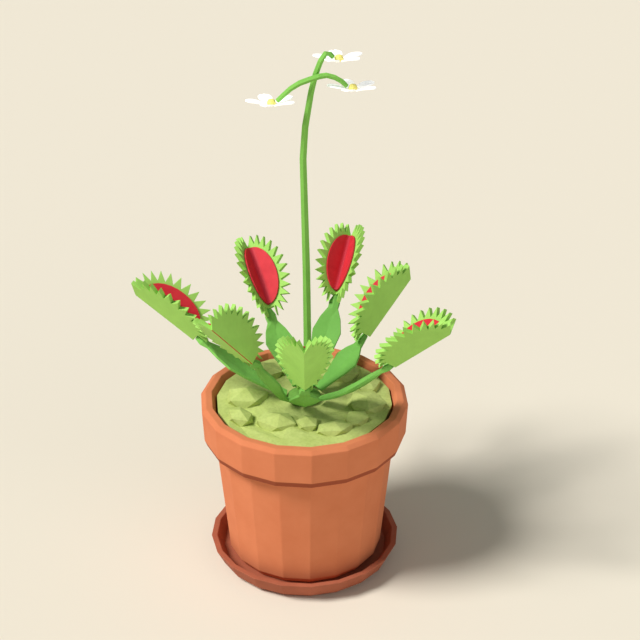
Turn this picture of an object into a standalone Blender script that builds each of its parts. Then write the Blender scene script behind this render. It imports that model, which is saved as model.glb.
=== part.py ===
"""A venus flytrap growing in moss in a clay pot that stands on a clay saucer.

Metres, +Z up.  The origin is the centre of the saucer's underside, and the plant's front leaf
points along -Y.  Headings are measured from -Y, positive towards +X.
"""
import math
from collections import namedtuple

import bmesh
import bpy
from mathutils import Matrix, Vector, noise

MM = 0.001
GAP = 0.3 * MM                      # air between pieces that rest on each other

# Clay ware: flat-sided turned pieces whose corners share one heading.
POT_SIDES = 18
SAUCER_SIDES = 20
CORNER_HEADING = math.radians(4.35)

SAUCER_FOOT_RADIUS = 36.0 * MM
SAUCER_FOOT_HEIGHT = 2.0 * MM
SAUCER_WALL_BOTTOM_RADIUS = 38.2 * MM
SAUCER_RADIUS = 41.8 * MM
SAUCER_LIP_WIDTH = 2.6 * MM
SAUCER_HEIGHT = 9.3 * MM
SAUCER_FLOOR_HEIGHT = 4.0 * MM

POT_BASE_HEIGHT = SAUCER_FLOOR_HEIGHT + GAP
POT_BASE_RADIUS = 31.5 * MM
POT_HEEL_HEIGHT = 7.4 * MM          # top of the bevel round the pot's base
POT_HEEL_RADIUS = 33.8 * MM
POT_SHOULDER_HEIGHT = 61.5 * MM     # underside of the rim
POT_SHOULDER_RADIUS = 39.1 * MM
RIM_RADIUS = 45.0 * MM
RIM_LOWER_RADIUS = 44.2 * MM
RIM_BEVEL = 1.6 * MM
RIM_LOWER_HEIGHT = 64.5 * MM
RIM_HEIGHT = 78.8 * MM              # top of the rim's upright side
POT_HEIGHT = 80.3 * MM
POT_MOUTH_RADIUS = 40.2 * MM
POT_THROAT_RADIUS = 38.8 * MM
POT_THROAT_HEIGHT = 77.0 * MM
POT_WALL = 3.6 * MM
POT_FLOOR = 4.0 * MM
DRAIN_RADIUS = 4.5 * MM

# Planting.
MIX_HEIGHT = 68.0 * MM
MOSS_RADIUS = 38.0 * MM
MOSS_EDGE_HEIGHT = 78.2 * MM
MOSS_HEIGHT = 79.0 * MM             # moss surface round the crown
MOSS_RINGS = 7
RHIZOME_RADIUS = 4.0 * MM
CROWN_RADIUS = 7.2 * MM
CROWN_TOP_RADIUS = 3.4 * MM
CROWN_HEIGHT = 4.2 * MM

# One trap: two toothed lobes folded along a midrib, with a red lining inside.
FOLD_HALF_LENGTH = 15.5 * MM
NOTCH_HALF_LENGTH = 15.9 * MM       # half axes of the ellipse that the notches lie on
LOBE_DEPTH = 9.4 * MM
TOOTH_LENGTH = 4.5 * MM
TEETH = 13
TOOTH_SPREAD = math.radians(83.1)   # from the lobe's middle to its outermost tooth
LOBE_END = 1.6 * MM                 # straight end of a lobe beside the neck
LOBE_THICKNESS = 1.9 * MM
LINING_THICKNESS = 0.6 * MM
LINING_HALF_LENGTH = 14.3 * MM
LINING_DEPTH = 8.8 * MM
LINING_ARC_STEPS = 14
SPINE_DEPTH = 4.6 * MM              # from the lining's fold to the back of the midrib

# One leaf stalk: a flat blade that widens outwards and ends in a short neck.
BLADE_START_WIDTH = 4.4 * MM
BLADE_WIDTH = 13.0 * MM
BLADE_EDGE = 1.0 * MM
BLADE_RIB = 1.8 * MM
BLADE_CHANNEL = 1.1 * MM            # how far the blade's middle lies below its edges
BLADE_START_RADIUS = 7.6 * MM
BLADE_START_RISE = 2.6 * MM
NECK_LENGTH = 6.0 * MM
NECK_WIDTH = 4.6 * MM
NECK_TIP_WIDTH = 2.6 * MM

# heading, reach and rise place the back end of the trap's midrib, seen from the crown; trap_heading,
# lean and roll turn the trap; gape is the angle from the trap's middle plane to each lobe.
Leaf = namedtuple("Leaf", "number heading reach rise trap_heading lean roll gape")
LEAVES = (
    Leaf(1, -92.5, 46.9, 28.6, -105.1, 36.0, 4.5, 32.5),
    Leaf(2, -43.6, 30.6, 30.0, -50.0, 49.5, 56.0, 40.5),
    Leaf(3, -157.8, 44.4, 20.3, -157.0, 36.8, 3.2, 45.1),
    Leaf(4, 160.8, 43.8, 26.8, 164.8, 31.6, -2.3, 36.2),
    Leaf(5, 126.2, 35.4, 18.9, 116.2, 50.7, -27.8, 35.6),
    Leaf(6, 58.5, 44.8, 29.4, 69.0, 41.5, -6.5, 40.0),
    Leaf(7, 1.0, 30.0, 21.5, 0.0, 60.0, 0.0, 50.0),
)

# Flower stalks: (x, y, height above the rim, thickness) in mm.
STALK_POINTS = (
    (1.6, 0.0, 4.6, 4.2), (1.5, 0.0, 34.0, 3.8), (1.2, 0.0, 62.0, 3.6), (0.4, 0.0, 96.0, 3.4),
    (0.0, 0.0, 114.0, 3.2), (0.9, 0.0, 128.0, 3.0), (3.3, 0.0, 143.0, 2.7), (5.0, 0.0, 150.3, 2.5),
    (7.0, 0.0, 156.0, 2.4), (9.0, 0.9, 159.0, 2.2), (10.8, 1.8, 158.4, 2.0), (12.0, 2.3, 156.9, 1.8),
)
ARCH_POINTS = (
    (-10.1, 0.0, 139.3, 2.0), (-8.0, -0.6, 141.6, 2.2), (-4.8, -1.6, 145.1, 2.3), (-1.2, -2.4, 147.8, 2.4),
    (2.6, -2.9, 149.5, 2.4), (6.4, -2.6, 150.7, 2.4), (9.4, -1.6, 150.8, 2.3), (12.6, -0.6, 149.5, 2.3),
    (15.4, 0.0, 147.6, 2.2), (17.5, 0.0, 145.5, 2.0),
)

# Place of each flower (mm, rise above the rim) and the heading of its first petal.
Flower = namedtuple("Flower", "number x y rise first_petal")
FLOWERS = (
    Flower(1, 14.3, 3.4, 155.6, 48.0),
    Flower(2, 19.9, 0.0, 144.5, 56.0),
    Flower(3, -12.5, 0.0, 138.1, 59.0),
)
PETALS = 5
PETAL_REACH = 10.4 * MM
PETAL_START = 1.95 * MM
PETAL_WIDTH = 5.6 * MM
PETAL_BASE_WIDTH = 1.8 * MM
PETAL_THICKNESS = 0.5 * MM
PETAL_STEPS = 6
PETAL_BASE_DROP = 1.0 * MM          # petals leave the flower below its eye
PETAL_CUP = math.radians(13.0)      # and rise outwards into a shallow cup
PETAL_ARCH = 0.4 * MM
FLOWER_TILT = math.radians(10.0)    # each flower leans back
EYE_RADIUS = 1.8 * MM
EYE_HEIGHT = 2.4 * MM
EYE_SIDES = 8


def clear_scene():
    """Remove every object that is in the scene."""
    for old in list(bpy.data.objects):
        bpy.data.objects.remove(old, do_unlink=True)


def plain_material(name, colour, roughness):
    """Return a Principled material of one linear colour."""
    material = bpy.data.materials.new(name)
    material.use_nodes = True
    shader = material.node_tree.nodes["Principled BSDF"]
    shader.inputs["Base Color"].default_value = (*colour, 1.0)
    shader.inputs["Roughness"].default_value = roughness
    shader.inputs["Metallic"].default_value = 0.0
    return material


def finish(name, bm, material):
    """Turn a bmesh into a named object with its material and outward faces."""
    bmesh.ops.recalc_face_normals(bm, faces=bm.faces)
    mesh = bpy.data.meshes.new(name)
    bm.to_mesh(mesh)
    bm.free()
    mesh.materials.append(material)
    made = bpy.data.objects.new(name, mesh)
    bpy.context.scene.collection.objects.link(made)
    return made


def along(heading, radius, height):
    """Return the point at a heading (radians from -Y towards +X), radius and height."""
    return Vector((radius * math.sin(heading), -radius * math.cos(heading), height))


def turned(name, profile, sides, material):
    """Make a flat-sided turned body from a (radius, height) profile.

    A profile whose ends lie on the axis makes a solid, and any other is closed into a ring.
    """
    bm = bmesh.new()
    verts = [bm.verts.new(along(CORNER_HEADING, radius, height)) for radius, height in profile]
    edges = [bm.edges.new(pair) for pair in zip(verts, verts[1:])]
    if profile[0][0] > 0.0:
        edges.append(bm.edges.new((verts[-1], verts[0])))
    bmesh.ops.spin(bm, geom=verts + edges, cent=(0, 0, 0), axis=(0, 0, 1), angle=math.tau,
                   steps=sides, use_merge=True)
    bmesh.ops.remove_doubles(bm, verts=bm.verts, dist=0.01 * MM)
    return finish(name, bm, material)


def make_saucer(material):
    """Make the saucer: a foot, a flared wall with a flat lip, and a sunk floor."""
    lip_inner = SAUCER_RADIUS - SAUCER_LIP_WIDTH
    profile = (
        (0.0, 0.0),
        (SAUCER_FOOT_RADIUS, 0.0),
        (SAUCER_FOOT_RADIUS, SAUCER_FOOT_HEIGHT),
        (SAUCER_WALL_BOTTOM_RADIUS, SAUCER_FOOT_HEIGHT),
        (SAUCER_RADIUS, SAUCER_HEIGHT),
        (lip_inner, SAUCER_HEIGHT),
        (SAUCER_FOOT_RADIUS, SAUCER_FLOOR_HEIGHT),
        (0.0, SAUCER_FLOOR_HEIGHT),
    )
    return turned("saucer", profile, SAUCER_SIDES, material)


def pot_bore(height):
    """Return the pot's inner radius at a height below the throat."""
    share = (height - POT_HEEL_HEIGHT) / (POT_THROAT_HEIGHT - POT_HEEL_HEIGHT)
    base = POT_HEEL_RADIUS - POT_WALL
    return base + (POT_THROAT_RADIUS - base) * share


def make_pot(material):
    """Make the pot: a tapered body, a deep rim with bevelled edges and a drain hole."""
    floor = POT_BASE_HEIGHT + POT_FLOOR
    profile = (
        (DRAIN_RADIUS, POT_BASE_HEIGHT),
        (POT_BASE_RADIUS, POT_BASE_HEIGHT),
        (POT_HEEL_RADIUS, POT_HEEL_HEIGHT),
        (POT_SHOULDER_RADIUS, POT_SHOULDER_HEIGHT),
        (RIM_LOWER_RADIUS - RIM_BEVEL * 0.75, POT_SHOULDER_HEIGHT),
        (RIM_LOWER_RADIUS, RIM_LOWER_HEIGHT),
        (RIM_RADIUS, RIM_HEIGHT),
        (RIM_RADIUS - 1.2 * RIM_BEVEL, POT_HEIGHT),
        (POT_MOUTH_RADIUS, POT_HEIGHT),
        (POT_THROAT_RADIUS, POT_THROAT_HEIGHT),
        (pot_bore(floor), floor),
        (DRAIN_RADIUS, floor),
    )
    return turned("pot", profile, POT_SIDES, material)


def make_growing_mix(material):
    """Make the plug of growing mix that fills the pot below the moss."""
    floor = POT_BASE_HEIGHT + POT_FLOOR + GAP
    profile = (
        (0.0, floor),
        (pot_bore(floor) - 2 * GAP, floor),
        (pot_bore(MIX_HEIGHT) - 2 * GAP, MIX_HEIGHT),
        (0.0, MIX_HEIGHT),
    )
    return turned("growing_mix", profile, POT_SIDES, material)


def moss_height(point):
    """Return the height of the moss surface over a point of the plan."""
    radius = math.hypot(point.x, point.y)
    share = radius / MOSS_RADIUS
    lumps = noise.noise(Vector((point.x, point.y, 0.0)) / (11.0 * MM)) * 2.4 * MM
    calm = min(1.0, max(0.0, (share - 0.25) / 0.2)) * min(1.0, (1.0 - share) / 0.12)
    return MOSS_HEIGHT + (MOSS_EDGE_HEIGHT - MOSS_HEIGHT) * share + lumps * calm


def make_moss(material):
    """Make the lumpy moss that covers the mix, with a hole for the rhizome."""
    bottom = MIX_HEIGHT + GAP
    hole = RHIZOME_RADIUS + GAP
    throat = pot_bore(bottom) - 2 * GAP
    top = [hole + (MOSS_RADIUS - hole) * ring / MOSS_RINGS for ring in range(MOSS_RINGS + 1)]
    profile = [(hole, bottom)] + [(radius, MOSS_HEIGHT) for radius in top] + [(throat, bottom)]
    moss = turned("moss", profile, POT_SIDES, material)
    for vertex in moss.data.vertices:
        if vertex.co.z > MOSS_HEIGHT - GAP:
            vertex.co.z = moss_height(vertex.co)
    return moss


def make_crown(material):
    """Make the crown that the leaves grow from, on its rhizome in the moss."""
    base = MOSS_HEIGHT + GAP
    profile = (
        (0.0, MIX_HEIGHT + 2 * GAP),
        (RHIZOME_RADIUS * 0.6, MIX_HEIGHT + 2 * GAP),
        (RHIZOME_RADIUS, MIX_HEIGHT + 4.0 * MM),
        (RHIZOME_RADIUS, base),
        (CROWN_RADIUS, base),
        (CROWN_RADIUS, base + 0.35 * CROWN_HEIGHT),
        (CROWN_TOP_RADIUS, RIM_HEIGHT + CROWN_HEIGHT),
        (0.0, RIM_HEIGHT + CROWN_HEIGHT),
    )
    return turned("crown", profile, POT_SIDES, material)


def trap_frame(leaf):
    """Return the matrix from a trap's own axes to the world.

    Its origin is the middle of the lining's fold, X runs along the midrib from the neck to the
    tip, Z points out of the mouth and Y across it.
    """
    heading = math.radians(leaf.trap_heading)
    lean = math.radians(leaf.lean)
    roll = math.radians(leaf.roll)
    outward = along(heading, 1.0, 0.0)
    ridge = (outward * math.cos(lean) + Vector((0, 0, math.sin(lean)))).normalized()
    mouth = Vector((0, 0, math.cos(lean))) - outward * math.sin(lean)
    across = ridge.cross(mouth)
    mouth_rolled = mouth * math.cos(roll) + across * math.sin(roll)
    across_rolled = ridge.cross(mouth_rolled)
    spine_end = along(math.radians(leaf.heading), leaf.reach * MM, RIM_HEIGHT + leaf.rise * MM)
    centre = spine_end + ridge * FOLD_HALF_LENGTH + mouth_rolled * SPINE_DEPTH
    axes = Matrix((ridge, -across_rolled, mouth_rolled)).transposed().to_4x4()
    return Matrix.Translation(centre) @ axes


def folded_blade(outline, top, thickness, gape):
    """Return a bmesh of two equal flat plates that meet along the X axis.

    outline lists (along the fold, out from the fold) from one end of the fold to the other.  top
    is the height of the inner face over the plate's own plane, and gape is the angle from the
    middle plane to each plate.
    """
    bm = bmesh.new()
    slope = 1.0 / math.tan(gape)
    ends = {0, len(outline) - 1}
    rows = []
    for height in (top, top - thickness):
        points = [(x, height * slope if i in ends else y) for i, (x, y) in enumerate(outline)]
        rows.append([bm.verts.new((x, y, height)) for x, y in points])
    inner, outer = rows
    bm.faces.new(inner)
    bm.faces.new(reversed(outer))
    for i in range(len(outline) - 1):
        bm.faces.new((inner[i + 1], inner[i], outer[i], outer[i + 1]))
    tilt = Matrix.Rotation(math.pi / 2 - gape, 4, "X")
    bmesh.ops.transform(bm, matrix=tilt, verts=bm.verts)
    bmesh.ops.mirror(bm, geom=bm.verts[:] + bm.edges[:] + bm.faces[:], axis="Y", merge_dist=0.02 * MM)
    bmesh.ops.remove_doubles(bm, verts=bm.verts, dist=0.01 * MM)
    return bm


def lobe_outline():
    """Return a lobe's toothed outline, from the neck end of the fold to its tip end."""
    outline = [(-FOLD_HALF_LENGTH, 0.0), (-FOLD_HALF_LENGTH, LOBE_END)]
    step = TOOTH_SPREAD / (TEETH - 1)
    for i in range(2 * TEETH - 1):
        angle = (i - (TEETH - 1)) * step
        reach = TOOTH_LENGTH if i % 2 == 0 else 0.0
        outline.append(((NOTCH_HALF_LENGTH + reach) * math.sin(angle),
                        (LOBE_DEPTH + reach) * math.cos(angle)))
    outline.append((FOLD_HALF_LENGTH, 0.0))
    return outline


def lining_outline():
    """Return half of the lining's ellipse, from one end of the fold to the other."""
    angles = [math.pi * (i / LINING_ARC_STEPS - 0.5) for i in range(LINING_ARC_STEPS + 1)]
    return [(LINING_HALF_LENGTH * math.sin(angle), LINING_DEPTH * math.cos(angle)) for angle in angles]


def make_trap(leaf, material):
    """Make one trap's pair of toothed lobes."""
    bm = folded_blade(lobe_outline(), -LINING_THICKNESS - GAP, LOBE_THICKNESS, math.radians(leaf.gape))
    bmesh.ops.transform(bm, matrix=trap_frame(leaf), verts=bm.verts)
    return finish(f"trap_{leaf.number}", bm, material)


def make_lining(leaf, material):
    """Make the red lining of one trap."""
    bm = folded_blade(lining_outline(), 0.0, LINING_THICKNESS, math.radians(leaf.gape))
    bmesh.ops.transform(bm, matrix=trap_frame(leaf), verts=bm.verts)
    return finish(f"trap_lining_{leaf.number}", bm, material)


def blade_section(centre, side, up, width, edge, rib, channel):
    """Return the six corners of a blade's section: two edges and a sunk middle."""
    half = side * width / 2
    low = up * channel
    return [
        centre - half + up * edge / 2,
        centre + up * rib / 2 - low,
        centre + half + up * edge / 2,
        centre + half - up * edge / 2,
        centre - up * rib / 2 - low,
        centre - half - up * edge / 2,
    ]


def bezier(p0, p1, p2, p3, t):
    """Return a point on a cubic curve."""
    s = 1.0 - t
    return p0 * s ** 3 + p1 * 3 * s * s * t + p2 * 3 * s * t * t + p3 * t ** 3


def make_petiole(leaf, material):
    """Make one leaf stalk, from the crown to the neck behind its trap."""
    frame = trap_frame(leaf)
    ridge = frame.col[0].to_3d()
    mouth = frame.col[2].to_3d()
    heading = math.radians(leaf.heading)
    neck_tip = frame @ Vector((-FOLD_HALF_LENGTH - GAP, 0.0, -SPINE_DEPTH * 0.55))
    neck_foot = neck_tip - ridge * NECK_LENGTH
    start = along(heading, BLADE_START_RADIUS, RIM_HEIGHT + BLADE_START_RISE)
    chord = neck_foot - start
    pull = chord.length * 0.33
    first = start + (along(heading, 1.0, 0.0) + Vector((0, 0, 0.45))).normalized() * pull
    last = neck_foot - (ridge + chord.normalized()).normalized() * pull
    side = along(heading, 1.0, 0.0).cross(Vector((0, 0, 1)))
    stations = (
        (0.0, BLADE_START_WIDTH, 0.25), (0.25, 0.50 * BLADE_WIDTH, 0.6), (0.50, 0.80 * BLADE_WIDTH, 1.0),
        (0.70, BLADE_WIDTH, 1.0), (0.87, 0.72 * BLADE_WIDTH, 0.7), (1.0, NECK_WIDTH, 0.0),
    )
    sections = []
    for share, width, sink in stations:
        centre = bezier(start, first, last, neck_foot, share)
        ahead = bezier(start, first, last, neck_foot, min(share + 0.02, 1.0))
        behind = bezier(start, first, last, neck_foot, max(share - 0.02, 0.0))
        up = side.cross(ahead - behind).normalized()
        sections.append(blade_section(centre, side, up, width, BLADE_EDGE, BLADE_RIB, BLADE_CHANNEL * sink))
    tip_side = ridge.cross(mouth)
    neck = NECK_LENGTH / 2
    sections.append(blade_section(neck_foot + ridge * neck, tip_side, mouth, NECK_WIDTH, 2.2 * MM, 3.4 * MM, 0.0))
    sections.append(blade_section(neck_tip, tip_side, mouth, NECK_TIP_WIDTH, 1.6 * MM, 2.6 * MM, 0.0))
    bm = bmesh.new()
    loops = []
    for section in sections:
        verts = [bm.verts.new(point) for point in section]
        loops.append(verts)
    for near, far in zip(loops, loops[1:]):
        for i in range(6):
            j = (i + 1) % 6
            bm.faces.new((near[i], near[j], far[j], far[i]))
    bm.faces.new(loops[0])
    bm.faces.new(loops[-1])
    return finish(f"petiole_{leaf.number}", bm, material)


def make_stalk(name, points, material):
    """Make a bent round stalk that thins along its length."""
    curve = bpy.data.curves.new(name, "CURVE")
    curve.dimensions = "3D"
    curve.bevel_depth = 1.0
    curve.bevel_resolution = 1
    curve.use_fill_caps = True
    spline = curve.splines.new("POLY")
    spline.points.add(len(points) - 1)
    for slot, (x, y, rise, thickness) in zip(spline.points, points):
        slot.co = (x * MM, y * MM, RIM_HEIGHT + rise * MM, 1.0)
        slot.radius = thickness * MM / 2
    curve.materials.append(material)
    made = bpy.data.objects.new(name, curve)
    bpy.context.scene.collection.objects.link(made)
    return made


def flower_place(flower):
    """Return the matrix that moves a flower from the origin to its place."""
    place = Matrix.Translation((flower.x * MM, flower.y * MM, RIM_HEIGHT + flower.rise * MM))
    return place @ Matrix.Rotation(-FLOWER_TILT, 4, "X")


def petal_width(share):
    """Return a petal's width at a share of its length: narrow, then full, then round."""
    if share < 0.6:
        rise = math.sin(share / 0.6 * math.pi / 2)
        return PETAL_BASE_WIDTH + (PETAL_WIDTH - PETAL_BASE_WIDTH) * rise
    return PETAL_WIDTH * math.sqrt(max(1.0 - ((share - 0.6) / 0.42) ** 2, 0.0))


def make_petal(flower, number, material):
    """Make one petal, a thin arched blade that rises outwards."""
    bm = bmesh.new()
    length = PETAL_REACH - PETAL_START
    rows = []
    for i in range(PETAL_STEPS + 1):
        share = i / PETAL_STEPS
        out = PETAL_START + length * share
        rise = math.tan(PETAL_CUP) * length * share + PETAL_ARCH * math.sin(math.pi * share)
        height = rise - PETAL_BASE_DROP
        half = petal_width(share) / 2
        rows.append([bm.verts.new((side * half, -out, height + abs(side) * 0.25 * MM)) for side in (-1, 0, 1)])
    for near, far in zip(rows, rows[1:]):
        for i in range(2):
            bm.faces.new((near[i], near[i + 1], far[i + 1], far[i]))
    bmesh.ops.recalc_face_normals(bm, faces=bm.faces)
    bmesh.ops.solidify(bm, geom=bm.faces[:], thickness=PETAL_THICKNESS)
    heading = math.radians(flower.first_petal + 360.0 / PETALS * number)
    place = flower_place(flower) @ Matrix.Rotation(heading, 4, "Z")
    bmesh.ops.transform(bm, matrix=place, verts=bm.verts)
    return finish(f"flower_{flower.number}_petal_{number + 1}", bm, material)


def make_eye(flower, material):
    """Make the yellow middle of one flower."""
    bm = bmesh.new()
    profile = ((0.0, -0.9), (0.55, -0.9), (0.95, -0.2), (1.0, 0.5), (0.7, 1.6), (0.0, EYE_HEIGHT / MM - 0.4))
    verts = [bm.verts.new((share * EYE_RADIUS, 0.0, height * MM)) for share, height in profile]
    edges = [bm.edges.new(pair) for pair in zip(verts, verts[1:])]
    bmesh.ops.spin(bm, geom=verts + edges, cent=(0, 0, 0), axis=(0, 0, 1), angle=math.tau,
                   steps=EYE_SIDES, use_merge=True)
    bmesh.ops.remove_doubles(bm, verts=bm.verts, dist=0.01 * MM)
    bmesh.ops.transform(bm, matrix=flower_place(flower), verts=bm.verts)
    return finish(f"flower_{flower.number}_eye", bm, material)


def main():
    """Build the plant, its moss, its pot and its saucer."""
    clear_scene()
    clay = plain_material("terracotta", (0.75, 0.26, 0.12), 0.8)
    soil = plain_material("growing_mix", (0.10, 0.06, 0.03), 0.95)
    moss = plain_material("moss", (0.50, 0.58, 0.17), 0.9)
    crown = plain_material("crown_green", (0.14, 0.33, 0.05), 0.6)
    stalk_green = plain_material("petiole_green", (0.17, 0.45, 0.09), 0.5)
    trap_green = plain_material("trap_green", (0.30, 0.50, 0.09), 0.5)
    red = plain_material("trap_red", (0.62, 0.04, 0.04), 0.45)
    scape = plain_material("stalk_green", (0.14, 0.42, 0.06), 0.5)
    white = plain_material("petal_white", (0.90, 0.88, 0.84), 0.5)
    yellow = plain_material("flower_yellow", (0.85, 0.62, 0.04), 0.6)
    make_saucer(clay)
    make_pot(clay)
    make_growing_mix(soil)
    make_moss(moss)
    make_crown(crown)
    for leaf in LEAVES:
        make_petiole(leaf, stalk_green)
        make_trap(leaf, trap_green)
        make_lining(leaf, red)
    make_stalk("flower_stalk", STALK_POINTS, scape)
    make_stalk("flower_arch", ARCH_POINTS, scape)
    for flower in FLOWERS:
        make_eye(flower, yellow)
        for number in range(PETALS):
            make_petal(flower, number, white)


main()
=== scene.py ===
"""The looks of a potted venus flytrap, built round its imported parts.

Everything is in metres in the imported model's own frame, +Z up. The front leaf points along -Y,
and every piece rides on the one body, because nothing on the plant moves on a joint.
"""

import logging
import math
from dataclasses import dataclass, field
from enum import Enum

import bmesh
import bpy
from mathutils import Matrix, Vector, noise


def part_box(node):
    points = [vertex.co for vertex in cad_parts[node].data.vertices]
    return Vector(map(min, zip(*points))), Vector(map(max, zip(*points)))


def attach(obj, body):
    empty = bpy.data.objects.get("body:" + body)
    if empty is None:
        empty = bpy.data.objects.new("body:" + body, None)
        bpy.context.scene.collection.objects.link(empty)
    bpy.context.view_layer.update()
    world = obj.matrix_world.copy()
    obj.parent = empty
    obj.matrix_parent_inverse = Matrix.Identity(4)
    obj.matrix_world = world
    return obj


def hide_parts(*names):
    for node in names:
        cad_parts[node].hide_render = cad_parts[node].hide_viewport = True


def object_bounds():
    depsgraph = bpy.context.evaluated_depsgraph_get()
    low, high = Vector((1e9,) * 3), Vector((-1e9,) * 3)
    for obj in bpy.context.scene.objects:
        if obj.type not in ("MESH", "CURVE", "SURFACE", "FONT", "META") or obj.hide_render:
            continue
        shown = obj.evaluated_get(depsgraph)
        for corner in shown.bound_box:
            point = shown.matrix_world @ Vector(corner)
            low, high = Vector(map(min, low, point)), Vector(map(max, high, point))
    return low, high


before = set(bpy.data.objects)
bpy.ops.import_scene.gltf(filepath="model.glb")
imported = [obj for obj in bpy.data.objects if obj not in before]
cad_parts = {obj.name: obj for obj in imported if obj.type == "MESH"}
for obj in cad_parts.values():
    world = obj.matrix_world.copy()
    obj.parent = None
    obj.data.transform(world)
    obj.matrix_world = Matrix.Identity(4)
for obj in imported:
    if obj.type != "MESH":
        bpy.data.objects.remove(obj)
CAD_BOX = [list(corner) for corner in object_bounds()]

LOG = logging.getLogger("flytrap")
MM = 0.001
BODY = "root"
FOLD_DISTANCE = "fold_mm"           # attribute: millimetres from a lining's fold

WELD = 0.002 * MM                   # corners closer than this are one corner
FLAT = math.radians(0.5)            # faces that turn less than this are one facet
LEAST_TURN = math.radians(8)        # edges that turn less than this stay sharp
CUT_SLACK = 0.001 * MM              # a cut this close to a corner runs through it
ROUND_PROFILE = 0.5                 # a bevel's section, as a share: half is a round one
OWN_MATERIAL = -1                   # a bevel's new faces take the material beside them
ACCENT_FACES = 1                    # the material index of a piece's second surface

NOISE_MIDDLE = 0.5                  # the value that a noise pattern lies round
MIX_SHARE, MIX_FIRST, MIX_SECOND = 0, 6, 7      # a colour Mix node's input sockets
MIX_RESULT = 2                                  # and its output


def linear(colour: str) -> tuple[float, float, float, float]:
    """Turn an sRGB hex colour into a linear one.

    Args:
        colour: Six hex digits, with or without a leading #.

    Returns:
        Red, green, blue and an alpha of 1.
    """
    digits = colour.lstrip("#")
    parts = [int(digits[i:i + 2], 16) / 255 for i in (0, 2, 4)]
    # The sRGB curve: a short straight foot, then a power.
    return (*[c / 12.92 if c <= 0.04045 else ((c + 0.055) / 1.055) ** 2.4 for c in parts], 1.0)


def add_node(tree: bpy.types.NodeTree, kind: str, values: dict | None = None,
             links: dict | None = None, **settings: object) -> bpy.types.Node:
    """Add a shader node with its settings, socket values and links.

    Args:
        tree: The node tree that it goes in.
        kind: The node's type, without its ShaderNode prefix.
        values: Input socket to value.
        links: Input socket to the output socket that feeds it.
        settings: The node's own properties.

    Returns:
        The new node.
    """
    node = tree.nodes.new("ShaderNode" + kind)
    for name, value in settings.items():
        setattr(node, name, value)
    for name, value in (values or {}).items():
        node.inputs[name].default_value = value
    for name, socket in (links or {}).items():
        tree.links.new(socket, node.inputs[name])
    return node


class Shade(Enum):
    """How a piece's faces take the light."""

    FACETED = "faceted"
    SMOOTH = "smooth"


@dataclass(frozen=True)
class Finish:
    """A surface with a soft mottle of two colours, and a fine grain that roughens and dents it.

    Sizes are in millimetres on the real thing.
    """

    name: str
    slot: str
    light: str
    dark: str
    mottle: float = 8.0
    mottle_contrast: float = 0.5
    mottle_detail: float = 3.0
    mottle_roughness: float = 0.6
    grain: float = 0.6
    grain_detail: float = 2.0
    grain_depth: float = 0.04
    grain_strength: float = 0.25
    roughness: float = 0.6
    roughness_swing: float = 0.08
    specular: float = 0.4
    glow: float = 0.0

    def material(self) -> bpy.types.Material:
        """Make the finish's material, the first time that it is asked for.

        Returns:
            The material, which every piece of this finish shares.
        """
        found = bpy.data.materials.get(self.name)
        if found:
            return found
        made = bpy.data.materials.new(self.name)
        made.use_nodes = True
        tree = made.node_tree
        shader = tree.nodes["Principled BSDF"]
        shader.inputs["Specular IOR Level"].default_value = self.specular
        shader.inputs["Emission Color"].default_value = linear(self.light)
        shader.inputs["Emission Strength"].default_value = self.glow
        self.dress(tree, shader)
        return made

    def dress(self, tree: bpy.types.NodeTree, shader: bpy.types.Node) -> None:
        """Feed the shader's colour, roughness and bump.

        Args:
            tree: The material's node tree.
            shader: Its Principled shader.
        """
        place = add_node(tree, "TexCoord").outputs["Object"]
        mottle = add_node(tree, "TexNoise", {"Scale": 1 / (self.mottle * MM),
                                             "Detail": self.mottle_detail,
                                             "Roughness": self.mottle_roughness},
                          {"Vector": place})
        spread = self.mottle_contrast / 2
        share = add_node(tree, "MapRange", {"From Min": NOISE_MIDDLE - spread,
                                            "From Max": NOISE_MIDDLE + spread},
                         {"Value": mottle.outputs["Fac"]})
        mixed = add_node(tree, "Mix", {MIX_FIRST: linear(self.dark),
                                       MIX_SECOND: linear(self.light)},
                         {MIX_SHARE: share.outputs["Result"]}, data_type="RGBA")
        colour = self.tint(tree, place, mixed.outputs[MIX_RESULT])
        tree.links.new(colour, shader.inputs["Base Color"])
        grain = add_node(tree, "TexNoise", {"Scale": 1 / (self.grain * MM),
                                            "Detail": self.grain_detail}, {"Vector": place})
        rough = add_node(tree, "MapRange", {"To Min": self.roughness - self.roughness_swing,
                                            "To Max": self.roughness + self.roughness_swing},
                         {"Value": grain.outputs["Fac"]})
        tree.links.new(rough.outputs["Result"], shader.inputs["Roughness"])
        bump = add_node(tree, "Bump", {"Strength": self.grain_strength,
                                       "Distance": self.grain_depth * MM},
                        {"Height": grain.outputs["Fac"]})
        tree.links.new(bump.outputs["Normal"], shader.inputs["Normal"])

    def tint(self, tree: bpy.types.NodeTree, place: bpy.types.NodeSocket,
             colour: bpy.types.NodeSocket) -> bpy.types.NodeSocket:
        """Return the colour as it is, where a finish has no further pattern over it."""
        return colour


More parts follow.
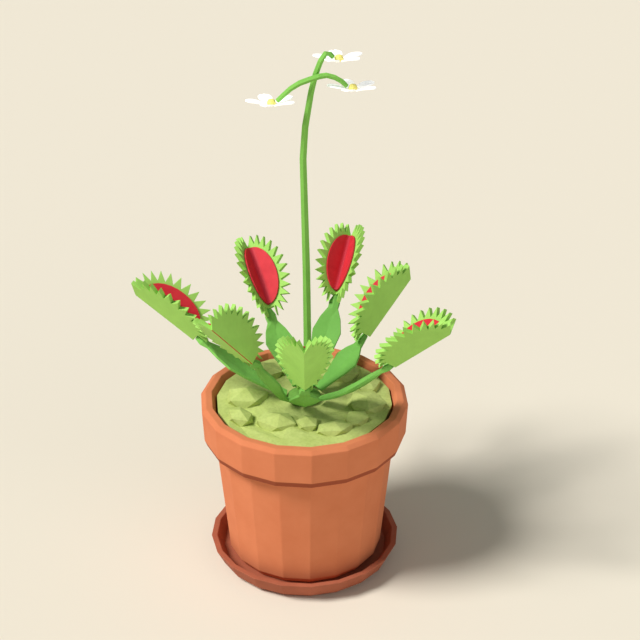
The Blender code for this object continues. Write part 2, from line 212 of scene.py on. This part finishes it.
@dataclass(frozen=True)
class PaintedRimShadeClayFinish(Finish):
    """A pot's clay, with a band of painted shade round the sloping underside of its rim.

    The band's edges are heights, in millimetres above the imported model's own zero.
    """

    # Painted shade where the rim hangs out over the body.
    painted_shade_colour: str = "#9A4B2E"
    painted_shade_low: float = 61.3
    painted_shade_high: float = 64.3
    painted_shade_fade: float = 0.25

    def tint(self, tree: bpy.types.NodeTree, place: bpy.types.NodeSocket,
             colour: bpy.types.NodeSocket) -> bpy.types.NodeSocket:
        """Return the colour with the band of painted shade over it.

        Args:
            tree: The material's node tree.
            place: The surface's own coordinates.
            colour: The mottled colour.

        Returns:
            The socket that the shader's colour reads.
        """
        height = add_node(tree, "SeparateXYZ", links={0: place}).outputs["Z"]
        middle = (self.painted_shade_low + self.painted_shade_high) / 2
        reach = (self.painted_shade_high - self.painted_shade_low) / 2
        away = add_node(tree, "Math", {1: middle * MM}, {0: height}, operation="SUBTRACT")
        size = add_node(tree, "Math", links={0: away.outputs[0]}, operation="ABSOLUTE")
        share = add_node(tree, "MapRange", {"From Min": (reach - self.painted_shade_fade) * MM,
                                            "From Max": (reach + self.painted_shade_fade) * MM},
                         {"Value": size.outputs[0]}, interpolation_type="SMOOTHSTEP")
        mixed = add_node(tree, "Mix", {MIX_FIRST: linear(self.painted_shade_colour)},
                         {MIX_SHARE: share.outputs["Result"], MIX_SECOND: colour},
                         data_type="RGBA")
        return mixed.outputs[MIX_RESULT]


@dataclass(frozen=True)
class LiningFinish(Finish):
    """A trap's lining, whose red deepens towards the fold: a deeper red pigment there, and
    painted shade in the fold.

    The piece carries how far each corner is from the fold, in millimetres, in an attribute.
    """

    # A deeper red with painted shade, towards the fold.
    deep_red_and_shade_colour: str = "#B6303C"
    deep_red_and_shade_full: float = 0.3
    deep_red_and_shade_reach: float = 2.8

    def tint(self, tree: bpy.types.NodeTree, place: bpy.types.NodeSocket,
             colour: bpy.types.NodeSocket) -> bpy.types.NodeSocket:
        """Return the colour with the fold's deeper red and painted shade over it.

        Args:
            tree: The material's node tree.
            place: The surface's own coordinates.
            colour: The mottled colour.

        Returns:
            The socket that the shader's colour reads.
        """
        out = add_node(tree, "Attribute", attribute_name=FOLD_DISTANCE)
        share = add_node(tree, "MapRange", {"From Min": self.deep_red_and_shade_full,
                                            "From Max": self.deep_red_and_shade_reach},
                         {"Value": out.outputs["Fac"]}, interpolation_type="SMOOTHSTEP")
        mixed = add_node(tree, "Mix", {MIX_FIRST: linear(self.deep_red_and_shade_colour)},
                         {MIX_SHARE: share.outputs["Result"], MIX_SECOND: colour},
                         data_type="RGBA")
        return mixed.outputs[MIX_RESULT]


@dataclass(frozen=True)
class LeafFinish(Finish):
    """Leaf skin with fine streaks that run along the leaf."""

    streak: float = 1.1
    streak_stretch: float = 9.0
    streak_detail: float = 1.0
    streak_start: float = 0.5
    streak_full: float = 0.75
    streak_colour: str = "#5E9C3C"
    streak_share: float = 0.16

    def tint(self, tree: bpy.types.NodeTree, place: bpy.types.NodeSocket,
             colour: bpy.types.NodeSocket) -> bpy.types.NodeSocket:
        """Return the colour with the streaks over it.

        Args:
            tree: The material's node tree.
            place: The surface's own coordinates.
            colour: The mottled colour.

        Returns:
            The socket that the shader's colour reads.
        """
        squeezed = add_node(tree, "Mapping", {"Scale": (1.0, 1.0, 1.0 / self.streak_stretch)},
                            {"Vector": place})
        streaks = add_node(tree, "TexNoise", {"Scale": 1 / (self.streak * MM),
                                              "Detail": self.streak_detail},
                           {"Vector": squeezed.outputs["Vector"]})
        share = add_node(tree, "MapRange", {"From Min": self.streak_start,
                                            "From Max": self.streak_full,
                                            "To Max": self.streak_share},
                         {"Value": streaks.outputs["Fac"]})
        mixed = add_node(tree, "Mix", {MIX_SECOND: linear(self.streak_colour)},
                         {MIX_SHARE: share.outputs["Result"], MIX_FIRST: colour},
                         data_type="RGBA")
        return mixed.outputs[MIX_RESULT]


@dataclass(frozen=True)
class MossFinish(Finish):
    """Cushion moss: shoot tips in pale cells, with painted shade in the gaps between them."""

    cell: float = 1.3
    gap_start: float = 0.45
    gap_full: float = 0.85
    # Painted shade in the gaps between shoots.
    gap_shade_colour: str = "#7F8F45"
    gap_shade_share: float = 0.18

    def tint(self, tree: bpy.types.NodeTree, place: bpy.types.NodeSocket,
             colour: bpy.types.NodeSocket) -> bpy.types.NodeSocket:
        """Return the colour with the painted shade in the gaps between shoots over it.

        Args:
            tree: The material's node tree.
            place: The surface's own coordinates.
            colour: The mottled colour.

        Returns:
            The socket that the shader's colour reads.
        """
        cells = add_node(tree, "TexVoronoi", {"Scale": 1 / (self.cell * MM)}, {"Vector": place})
        share = add_node(tree, "MapRange", {"From Min": self.gap_start,
                                            "From Max": self.gap_full,
                                            "To Max": self.gap_shade_share},
                         {"Value": cells.outputs["Distance"]})
        mixed = add_node(tree, "Mix", {MIX_SECOND: linear(self.gap_shade_colour)},
                         {MIX_SHARE: share.outputs["Result"], MIX_FIRST: colour},
                         data_type="RGBA")
        return mixed.outputs[MIX_RESULT]


# Unglazed fired earthenware: dry and dusty, with fine grit in the clay and a faint cloudiness.
# The darker band under its rim is painted shade.
CLAY = PaintedRimShadeClayFinish("terracotta_earthenware", "terracotta", "#D78056", "#CF774E",
                        mottle=14.0, grain=0.5, grain_depth=0.05, roughness=0.88,
                        roughness_swing=0.06, specular=0.25)
# The saucer's earthenware: the same dry clay, with painted shade that makes it a darker, browner
# red.
SHADED_CLAY = Finish("shaded_earthenware", "terracotta", "#AC6044", "#9E563C", mottle=12.0, grain=0.5,
                   grain_depth=0.05, roughness=0.8, roughness_swing=0.08, specular=0.3)
# Cushion moss: matt, short and dense, so it takes light like felt.
MOSS = MossFinish("cushion_moss", "moss", "#C1CC7B", "#B0BC69", mottle=5.0, grain=0.9,
                  grain_depth=0.25, grain_strength=0.5, roughness=0.95, roughness_swing=0.04,
                  specular=0.15)
# Peat with grit: dark, crumbly and without any shine.
PEAT = Finish("peat_growing_mix", "growing_mix", "#4A3323", "#2C1D13", mottle=3.0, grain=1.2,
              grain_depth=0.5, grain_strength=0.8, roughness=0.96, roughness_swing=0.03,
              specular=0.1)
# Leaf bases packed round the growing point: thick, smooth and slightly dull.
CROWN = Finish("crown_leaf_bases", "crown_green", "#72A347", "#64933C", mottle=3.0, grain=0.8,
               roughness=0.65, specular=0.15)
# Leaf stalks: smooth cool green skin with a satin sheen and faint long streaks.
PETIOLE = LeafFinish("petiole_leaf_skin", "petiole_green", "#7DBA55", "#72AE4C", mottle=9.0,
                     grain=0.7, roughness=0.65, specular=0.15)
# The same skin in a deeper green, as painted shade.
SHADED_PETIOLE = LeafFinish("shaded_petiole_leaf_skin", "petiole_green", "#70AC4C", "#66A044",
                          mottle=9.0, grain=0.7, roughness=0.65, specular=0.15)
# The same skin in a paler green, as painted light.
LIT_PETIOLE = LeafFinish("lit_petiole_leaf_skin", "petiole_green", "#8ACC60", "#7EC058",
                          mottle=9.0, grain=0.7, roughness=0.65, specular=0.15)
# The leaves whose stalks are not the common green: painted light on the left one, and painted
# shade on the two at the back right.
STALK_FINISHES = {1: LIT_PETIOLE, 4: SHADED_PETIOLE, 5: SHADED_PETIOLE}
# Trap lobes: yellower leaf skin, a little waxy, with the same faint streaks.
TRAP = LeafFinish("trap_leaf_skin", "trap_green", "#A8DB69", "#9CCE60", mottle=7.0, grain=0.6,
                  roughness=0.65, specular=0.15, streak_colour="#8FC058")
# Flower stalk: firm smooth skin.
SCAPE = LeafFinish("flower_stalk_skin", "stalk_green", "#86C457", "#7AB84E", mottle=10.0,
                   grain=0.5, roughness=0.65, specular=0.15)
# Lining: moist red gland tissue, finely pebbled, deeper red in the fold, with painted shade there
# as well.
LINING = LiningFinish("trap_lining_glands", "trap_red", "#D83840", "#C92D36", mottle=4.0,
                      grain=0.35, grain_depth=0.03, roughness=0.5, specular=0.12)
# The rib that shows red along the back of a trap.
MIDRIB = Finish("trap_midrib_pigment", "trap_red", "#B4521F", "#A5481C", mottle=2.0, grain=0.4,
                roughness=0.55)
# Petals: white with a soft sheen. A faint glow keeps them white on the side away from the light.
PETAL = Finish("petal_skin", "petal_white", "#FFFFFF", "#FAF8F4", mottle=3.0, grain=0.4,
               grain_depth=0.02, roughness=0.55, glow=0.3)
# Stamens in the middle of a flower: a crumbly mat of pollen.
POLLEN = Finish("anther_pollen", "flower_yellow", "#FFF392", "#F7E676", mottle=1.5, grain=0.4,
                grain_depth=0.2, grain_strength=0.7, roughness=0.85, specular=0.2)


def merged_copy(node: str) -> bmesh.types.BMesh:
    """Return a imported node's shape with its loose triangles joined into flat facets.

    Args:
        node: The node's name.

    Returns:
        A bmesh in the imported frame.
    """
    bm = bmesh.new()
    bm.from_mesh(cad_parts[node].data)
    bmesh.ops.remove_doubles(bm, verts=bm.verts, dist=WELD)
    bmesh.ops.dissolve_limit(bm, angle_limit=FLAT, verts=bm.verts, edges=bm.edges)
    return bm


def soften(bm: bmesh.types.BMesh, width: float, steps: int = 2) -> None:
    """Round every edge that turns enough to show.

    Args:
        bm: The mesh.
        width: How far the rounding reaches from an edge, in metres.
        steps: Faces across the rounding.
    """
    edges = [e for e in bm.edges if e.is_manifold and e.calc_face_angle() > LEAST_TURN]
    bmesh.ops.bevel(bm, geom=edges, offset=width, offset_type="OFFSET", affect="EDGES",
                    segments=steps, profile=ROUND_PROFILE, material=OWN_MATERIAL,
                    clamp_overlap=True)


def place_piece(name: str, bm: bmesh.types.BMesh, finish: Finish, node: str,
                shade: Shade = Shade.FACETED, accent: Finish | None = None) -> None:
    """Make a riding piece from a mesh.

    Args:
        name: The piece's name.
        bm: Its mesh, in place, which is freed.
        finish: Its surface.
        node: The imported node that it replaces.
        shade: How its faces take the light.
        accent: The surface of its accent faces.
    """
    mesh = bpy.data.meshes.new(name)
    for face in bm.faces:
        face.smooth = shade is Shade.SMOOTH
    bm.to_mesh(mesh)
    bm.free()
    mesh.materials.append(finish.material())
    if accent:
        mesh.materials.append(accent.material())
    piece = bpy.data.objects.new(name, mesh)
    bpy.context.scene.collection.objects.link(piece)
    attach(piece, BODY)
    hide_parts(node)
    LOG.info("%s: %d faces", name, len(mesh.polygons))


@dataclass
class ClayWare:
    """The pot and the saucer under it."""

    edge: float = 0.3 * MM

    def build(self) -> None:
        """Round the edges of both and give them their clay."""
        for node, finish in (("pot", CLAY), ("saucer", SHADED_CLAY)):
            bm = merged_copy(node)
            soften(bm, self.edge)
            place_piece(node + "_clay", bm, finish, node)


@dataclass(frozen=True)
class Cushion:
    """A faceted lump that stands up out of the moss.

    Its place and size are in millimetres from the pot's axis, +X right and +Y back, and its turn
    is in degrees. The shake moves the corners of a ball of radius 1 before that is sized.
    """

    x: float
    y: float
    length: float
    width: float
    height: float
    turn: float = 0.0
    shake: float = 0.16
    shake_pitch: float = 1.7

    def add_to(self, bm: bmesh.types.BMesh, surface: float) -> None:
        """Add the lump to a mesh.

        Args:
            bm: The moss.
            surface: The height of the moss under the lump, in metres.
        """
        made = bmesh.ops.create_icosphere(bm, subdivisions=1, radius=1.0)["verts"]
        start = Vector((self.x, self.y, 0))
        for vertex in made:
            push = noise.noise_vector(vertex.co * self.shake_pitch + start)
            vertex.co += push * self.shake
        size = Matrix.Diagonal((self.length / 2, self.width / 2, self.height)).to_4x4()
        place = Matrix.Translation(Vector((self.x, self.y, surface / MM)))
        turn = Matrix.Rotation(math.radians(self.turn), 4, "Z")
        matrix = Matrix.Scale(MM, 4) @ place @ turn @ size
        bmesh.ops.transform(bm, matrix=matrix, verts=made)


@dataclass
class Planting:
    """The growing mix and the moss on it.

    The seed fixes how the cushions are shaken. Without one the noise starts from the clock, and
    the moss is another shape each time that it is laid.
    """

    cushions: tuple[Cushion, ...] = (
        Cushion(-24.5, 0.5, 21.0, 17.0, 5.4, 10), Cushion(-11.0, -20.0, 20.0, 14.0, 5.0, -20),
        Cushion(1.5, -20.5, 11.0, 12.0, 3.6, 30), Cushion(13.0, -24.0, 19.0, 11.0, 3.4, 15),
        Cushion(27.0, -4.0, 18.0, 19.0, 4.2, -10), Cushion(17.0, 21.0, 18.0, 15.0, 4.4, 40),
        Cushion(-17.5, 21.5, 18.0, 15.0, 5.0, -15), Cushion(22.5, -16.5, 13.0, 11.0, 3.0, 60),
        Cushion(1.0, 26.5, 16.0, 12.0, 3.8, 0), Cushion(28.0, 11.0, 14.0, 12.0, 3.6, 80),
        Cushion(-27.0, -14.5, 14.0, 11.0, 3.4, -60),
    )
    sunk: float = 1.2 * MM
    seed: int = 1795416234

    def build(self) -> None:
        """Dress the mix and lay the moss."""
        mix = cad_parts["growing_mix"].data
        mix.materials.clear()
        mix.materials.append(PEAT.material())
        LOG.info("growing_mix: %d faces", len(mix.polygons))
        self.moss_bed()

    def moss_bed(self) -> None:
        """Make the moss: a faceted cover with cushions that stand up out of it."""
        noise.seed_set(self.seed)
        bm = merged_copy("moss")
        surface = max(v.co.z for v in bm.verts) - self.sunk
        for cushion in self.cushions:
            cushion.add_to(bm, surface)
        place_piece("moss_bed", bm, MOSS, "moss")


@dataclass
class Leaf:
    """One leaf: its stalk, its toothed trap and the trap's lining."""

    number: int
    edge: float = 0.12 * MM
    fold_round: float = 1.6 * MM
    fold_steps: int = 5
    strips: tuple[float, ...] = (0.8, 1.6, 2.6, 4.0)
    rim_turn: float = math.radians(35)
    midrib_width: float = 0.35 * MM
    midrib_shows: bool = False
    stalk_finish: Finish = PETIOLE

    def build(self) -> None:
        """Make the leaf's three pieces."""
        self.stalk()
        self.trap()
        self.lining()

    def stalk(self) -> None:
        """Make the flat stalk."""
        node = f"petiole_{self.number}"
        bm = merged_copy(node)
        soften(bm, self.edge)
        place_piece(f"leaf_{self.number}_stalk", bm, self.stalk_finish, node)

    def trap(self) -> None:
        """Make the two toothed lobes."""
        node = f"trap_{self.number}"
        bm = merged_copy(node)
        if self.midrib_shows:
            self.pigment_midrib(bm)
        soften(bm, self.edge)
        place_piece(f"leaf_{self.number}_trap", bm, TRAP, node,
                    accent=MIDRIB if self.midrib_shows else None)

    def pigment_midrib(self, bm: bmesh.types.BMesh) -> None:
        """Cut a narrow flat along the back of the fold and give it the midrib's surface.

        Args:
            bm: The trap's mesh.
        """
        back = max((e for e in bm.edges if e.is_convex), key=lambda e: e.calc_length())
        cut = bmesh.ops.bevel(bm, geom=[back], offset=self.midrib_width, offset_type="OFFSET",
                              affect="EDGES", segments=1, profile=ROUND_PROFILE,
                              material=OWN_MATERIAL)
        for face in cut["faces"]:
            face.material_index = ACCENT_FACES

    def lining(self) -> None:
        """Make the red lining with its fold rounded into a shallow valley."""
        node = f"trap_lining_{self.number}"
        bm = merged_copy(node)
        fold = max((e for e in bm.edges if not e.is_convex), key=lambda e: e.calc_length())
        foot = fold.verts[0].co.copy()
        ridge = (fold.verts[1].co - foot).normalized()
        sheets = [f.normal.copy() for f in fold.link_faces]
        mouth = (sheets[0] + sheets[1]).normalized()
        across = ridge.cross(mouth).normalized()
        lean = abs(sheets[0].dot(mouth))
        bmesh.ops.bevel(bm, geom=[fold], offset=self.fold_round, offset_type="OFFSET",
                        affect="EDGES", segments=self.fold_steps, profile=ROUND_PROFILE,
                        material=OWN_MATERIAL)
        for side in (-1.0, 1.0):
            for strip in self.strips:
                everything = bm.verts[:] + bm.edges[:] + bm.faces[:]
                middle = foot + across * side * strip * MM * lean
                bmesh.ops.bisect_plane(bm, geom=everything, dist=CUT_SLACK, plane_co=middle,
                                       plane_no=across)
        layer = bm.verts.layers.float.new(FOLD_DISTANCE)
        for vertex in bm.verts:
            vertex[layer] = abs((vertex.co - foot).dot(across)) / lean / MM
        for edge in bm.edges:
            edge.smooth = edge.is_manifold and edge.calc_face_angle() < self.rim_turn
        place_piece(f"leaf_{self.number}_lining", bm, LINING, node, Shade.SMOOTH)


@dataclass
class Rosette:
    """The crown and the leaves that grow out of it."""

    leaves: int = 7
    midrib_leaf: int = 2

    def build(self) -> None:
        """Make the crown, then the leaves in their order."""
        place_piece("crown_bases", merged_copy("crown"), CROWN, "crown")
        for number in range(1, self.leaves + 1):
            Leaf(number, midrib_shows=number == self.midrib_leaf,
                 stalk_finish=STALK_FINISHES.get(number, PETIOLE)).build()


@dataclass
class FlowerSpike:
    """The flower stalk with its side stalks and its flowers."""

    flowers: int = 3
    petals: int = 5

    def build(self) -> None:
        """Dress the stalks, then the flowers in their order."""
        for node in ("flower_stalk", "flower_arch"):
            place_piece(node + "_skin", merged_copy(node), SCAPE, node)
        for number in range(1, self.flowers + 1):
            self.flower(number)

    def flower(self, number: int) -> None:
        """Dress one flower: its centre and its petals.

        Args:
            number: Which flower it is.
        """
        eye = f"flower_{number}_eye"
        place_piece(f"flower_{number}_centre", merged_copy(eye), POLLEN, eye)
        for petal in range(1, self.petals + 1):
            node = f"flower_{number}_petal_{petal}"
            place_piece(node + "_blade", merged_copy(node), PETAL, node)


@dataclass
class Studio:
    """The floor, the lights and the camera."""

    floor_radius: float = 12.0
    floor_sides: int = 96
    floor_drop: float = 0.1 * MM
    floor_colour: str = "#E4DAC8"
    sun_heading: Vector = field(default_factory=lambda: Vector((-0.62, -0.20, 0.755)))
    sun_strength: float = 3.6
    sun_angle: float = math.radians(20)
    sky_strength: float = 0.215
    sky_colour: str = "#F2FFFF"
    fill_heading: Vector = field(default_factory=lambda: Vector((0.55, -0.80, 0.14)))
    fill_strength: float = 1.0
    fill_angle: float = math.radians(70)
    eye: Vector = field(default_factory=lambda: Vector((6.84, -735.0, 453.3)) * MM)
    pitch: float = math.radians(29.49)
    lens: float = 112.5
    nearest: float = 0.01
    farthest: float = 100.0

    def build(self) -> None:
        """Make the floor, the lights and the camera."""
        self.make_floor()
        self.make_lights()
        self.make_camera()
        settings = bpy.context.scene.view_settings
        settings.view_transform = "Standard"
        settings.look = "None"

    def make_floor(self) -> None:
        """Make the pale floor under the saucer."""
        bm = bmesh.new()
        bmesh.ops.create_circle(bm, cap_ends=True, segments=self.floor_sides,
                                radius=self.floor_radius)
        bmesh.ops.translate(bm, verts=bm.verts, vec=(0, 0, CAD_BOX[0][2] - self.floor_drop))
        mesh = bpy.data.meshes.new("floor")
        bm.to_mesh(mesh)
        bm.free()
        paint = bpy.data.materials.new("floor_paint")
        paint.use_nodes = True
        shader = paint.node_tree.nodes["Principled BSDF"]
        shader.inputs["Base Color"].default_value = linear(self.floor_colour)
        shader.inputs["Roughness"].default_value = 1.0
        shader.inputs["Specular IOR Level"].default_value = 0.0
        mesh.materials.append(paint)
        floor = bpy.data.objects.new("floor", mesh)
        bpy.context.scene.collection.objects.link(floor)

    def make_lights(self) -> None:
        """Make the key light, the light that fills its shade and the even light of the room."""
        self.make_sun("key", self.sun_heading, self.sun_strength, self.sun_angle)
        self.make_sun("fill", self.fill_heading, self.fill_strength, self.fill_angle)
        room = bpy.data.worlds.new("room")
        room.use_nodes = True
        sky = room.node_tree.nodes["Background"]
        sky.inputs["Color"].default_value = linear(self.sky_colour)
        sky.inputs["Strength"].default_value = self.sky_strength
        bpy.context.scene.world = room

    def make_sun(self, name: str, heading: Vector, strength: float, angle: float) -> None:
        """Make one distant soft light.

        Args:
            name: Its name.
            heading: The direction that it comes from.
            strength: How strong it is.
            angle: How wide it looks from the plant, in radians.
        """
        lamp = bpy.data.lights.new(name, "SUN")
        lamp.energy = strength
        lamp.angle = angle
        light = bpy.data.objects.new(name, lamp)
        light.rotation_mode = "QUATERNION"
        light.rotation_quaternion = heading.to_track_quat("Z", "Y")
        bpy.context.scene.collection.objects.link(light)

    def make_camera(self) -> None:
        """Put the camera in front of the pot, above its rim and looking down at it."""
        lens = bpy.data.cameras.new("camera")
        lens.lens = self.lens
        lens.clip_start = self.nearest
        lens.clip_end = self.farthest
        camera = bpy.data.objects.new("camera", lens)
        pot_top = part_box("pot")[1].z
        camera.location = self.eye + Vector((0, 0, pot_top))
        camera.rotation_euler = (math.pi / 2 - self.pitch, 0, 0)
        bpy.context.scene.collection.objects.link(camera)
        bpy.context.scene.camera = camera


def main() -> None:
    """Build every part of the plant and its studio."""
    logging.basicConfig(level=logging.INFO, format="%(message)s")
    Studio().build()
    ClayWare().build()
    Planting().build()
    Rosette().build()
    FlowerSpike().build()


if __name__ == "__main__":
    main()
